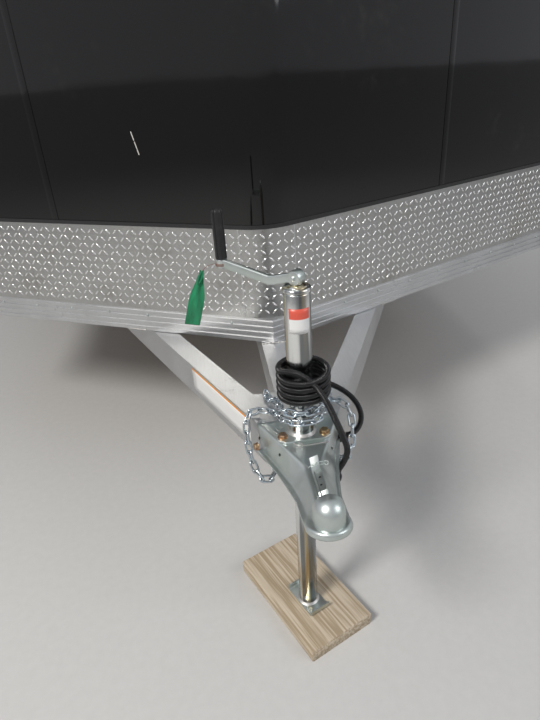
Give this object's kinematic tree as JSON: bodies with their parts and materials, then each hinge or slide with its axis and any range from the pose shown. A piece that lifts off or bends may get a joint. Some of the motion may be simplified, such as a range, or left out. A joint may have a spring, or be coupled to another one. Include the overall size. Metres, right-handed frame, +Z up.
{
  "type": "enclosed snowmobile trailer",
  "caption": "Enclosed V-nose snowmobile trailer on its tongue jack, with ball coupler, ramp door, side door and deck-over wheels.",
  "frame": {"origin": "on the ground, under the middle of the whole trailer", "axes": "+Y back from the coupler to the ramp door, +Z up, +X to the driver's side"},
  "size_m": [2.589, 5.131, 2.4993],
  "materials": {
    "mill_aluminium": "extruded, satin",
    "tread_plate": "bright diamond tread",
    "black_panel": "gloss black skin over a sandwich wall",
    "roof_skin": "white skin over a sandwich roof",
    "plywood": "varnished plywood",
    "zinc_steel": "bright zinc plate",
    "chain_steel": "zinc plate",
    "black_rubber": "ribbed grip",
    "ribbon": "thin flagging tape",
    "pine": "bare sawn board",
    "black_steel": "black paint",
    "tyre_rubber": "matt",
    "wheel_paint": "silver paint",
    "red_lens": "clear red",
    "amber_lens": "clear amber",
    "vent_plastic": "white",
    "black_plastic": "moulded",
    "loom_plastic": "ribbed split loom"
  },
  "bodies": {
    "trailer": {"tongue_rail_left": "mill_aluminium", "tongue_rail_right": "mill_aluminium", "tongue_centre_beam": "mill_aluminium", "main_beams": "mill_aluminium", "crossmembers": "mill_aluminium", "floor_deck": "plywood", "front_bottom_rail": "mill_aluminium", "side_bottom_rails": "mill_aluminium", "rear_sill": "mill_aluminium", "nose_wall_left": "black_panel", "nose_wall_right": "black_panel", "nose_corner_post": "black_panel", "side_wall_left": "black_panel", "side_wall_right": "black_panel", "roof": "roof_skin", "roof_edge_trim": "mill_aluminium", "rear_frame": "mill_aluminium", "stone_guard": "tread_plate", "roof_vent_base": "vent_plastic", "tongue_gussets": "mill_aluminium", "coupler": "zinc_steel", "jack_tube": "zinc_steel", "safety_chains": "chain_steel", "loom_grommet": "black_plastic", "loom_feed": "loom_plastic", "loom_coil": "loom_plastic", "loom_lead": "loom_plastic", "loom_plug": "black_plastic", "axle": "black_steel", "leaf_springs": "black_steel", "spring_hangers": "mill_aluminium", "tail_lights": "red_lens", "amber_markers": "amber_lens", "red_markers": "red_lens", "plate_bracket": "mill_aluminium"},
    "jack_leg_body": {"jack_leg": "zinc_steel", "jack_foot": "zinc_steel", "support_board": "pine"},
    "crank": {"crank_arm": "zinc_steel", "crank_grip": "black_rubber", "crank_ribbon": "ribbon"},
    "wheel_left": {"tyre_left": "tyre_rubber", "rim_left": "wheel_paint"},
    "wheel_right": {"tyre_right": "tyre_rubber", "rim_right": "wheel_paint"},
    "ramp": {"ramp_door": "black_panel", "ramp_hinge": "mill_aluminium", "ramp_locks": "zinc_steel"},
    "curb_door": {"side_door": "black_panel", "side_door_hinges": "zinc_steel", "side_door_latch": "black_plastic"},
    "vent_lid": {"roof_vent_lid": "vent_plastic"},
    "ball_latch": {"coupler_latch": "zinc_steel"}
  },
  "joints": [
    {"name": "jack_slide", "type": "slide", "parent": "trailer", "child": "jack_leg_body", "axis": [0, 0, 1], "range_m": [-0.05, 0.325]},
    {"name": "crank_turn", "type": "hinge", "parent": "trailer", "child": "crank", "pos_m": [0, -2.2405, 1.003], "axis": [0, 0, 1], "continuous": true},
    {"name": "wheel_left_turn", "type": "hinge", "parent": "trailer", "child": "wheel_left", "pos_m": [1.085, 1.0045, 0.26035], "axis": [1, 0, 0], "continuous": true},
    {"name": "wheel_right_turn", "type": "hinge", "parent": "trailer", "child": "wheel_right", "pos_m": [-1.085, 1.0045, 0.26035], "axis": [1, 0, 0], "continuous": true},
    {"name": "ramp_swing", "type": "hinge", "parent": "trailer", "child": "ramp", "pos_m": [0, 2.4905, 0.69], "axis": [-1, 0, 0], "range_deg": [0, 113]},
    {"name": "curb_door_swing", "type": "hinge", "parent": "trailer", "child": "curb_door", "pos_m": [-1.2785, -0.8185, 0.738], "axis": [0, 0, 1], "range_deg": [0, 165]},
    {"name": "vent_swing", "type": "hinge", "parent": "trailer", "child": "vent_lid", "pos_m": [0, 0.2, 2.4753], "axis": [1, 0, 0], "range_deg": [0, 60]},
    {"name": "ball_latch_swing", "type": "hinge", "parent": "trailer", "child": "ball_latch", "pos_m": [0, -2.4765, 0.632], "axis": [1, 0, 0], "range_deg": [0, 75]}
  ]
}
